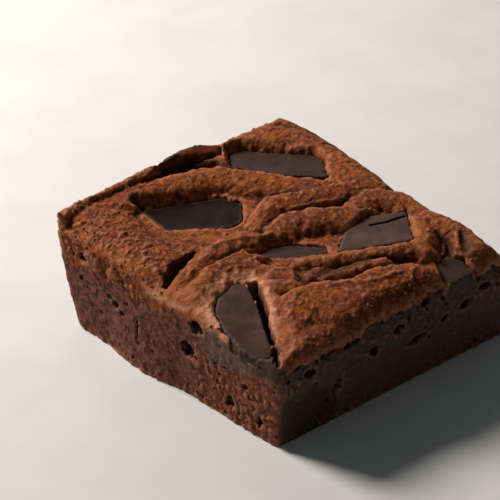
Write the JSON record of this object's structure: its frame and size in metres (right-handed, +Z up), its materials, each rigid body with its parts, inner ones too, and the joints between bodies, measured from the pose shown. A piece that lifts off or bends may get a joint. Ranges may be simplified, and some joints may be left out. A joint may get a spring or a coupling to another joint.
{
  "type": "chocolate brownie",
  "caption": "Square slice of fudgy chocolate brownie with a folded crackly top crust, torn porous cut sides and flat dark chocolate chunks set into the top.",
  "frame": {"origin": "centre of the bounding box in plan, at the foot", "axes": "+Z up from the foot to the crust; -X looks out of one cut face and -Y out of the other, the two faces that meet at the front corner"},
  "size_m": [0.08, 0.0808, 0.0327],
  "materials": {
    "cake": "baked crust, matte with a dull sheen on the crests",
    "chocolate": "satin dark chocolate"
  },
  "bodies": {
    "root": {"brownie": "cake", "chunk_left": "chocolate", "chunk_back": "chocolate", "chunk_edge": "chocolate", "chunk_right": "chocolate", "chunk_middle": "chocolate", "chunk_front": "chocolate", "chunk_corner": "chocolate"}
  },
  "joints": []
}
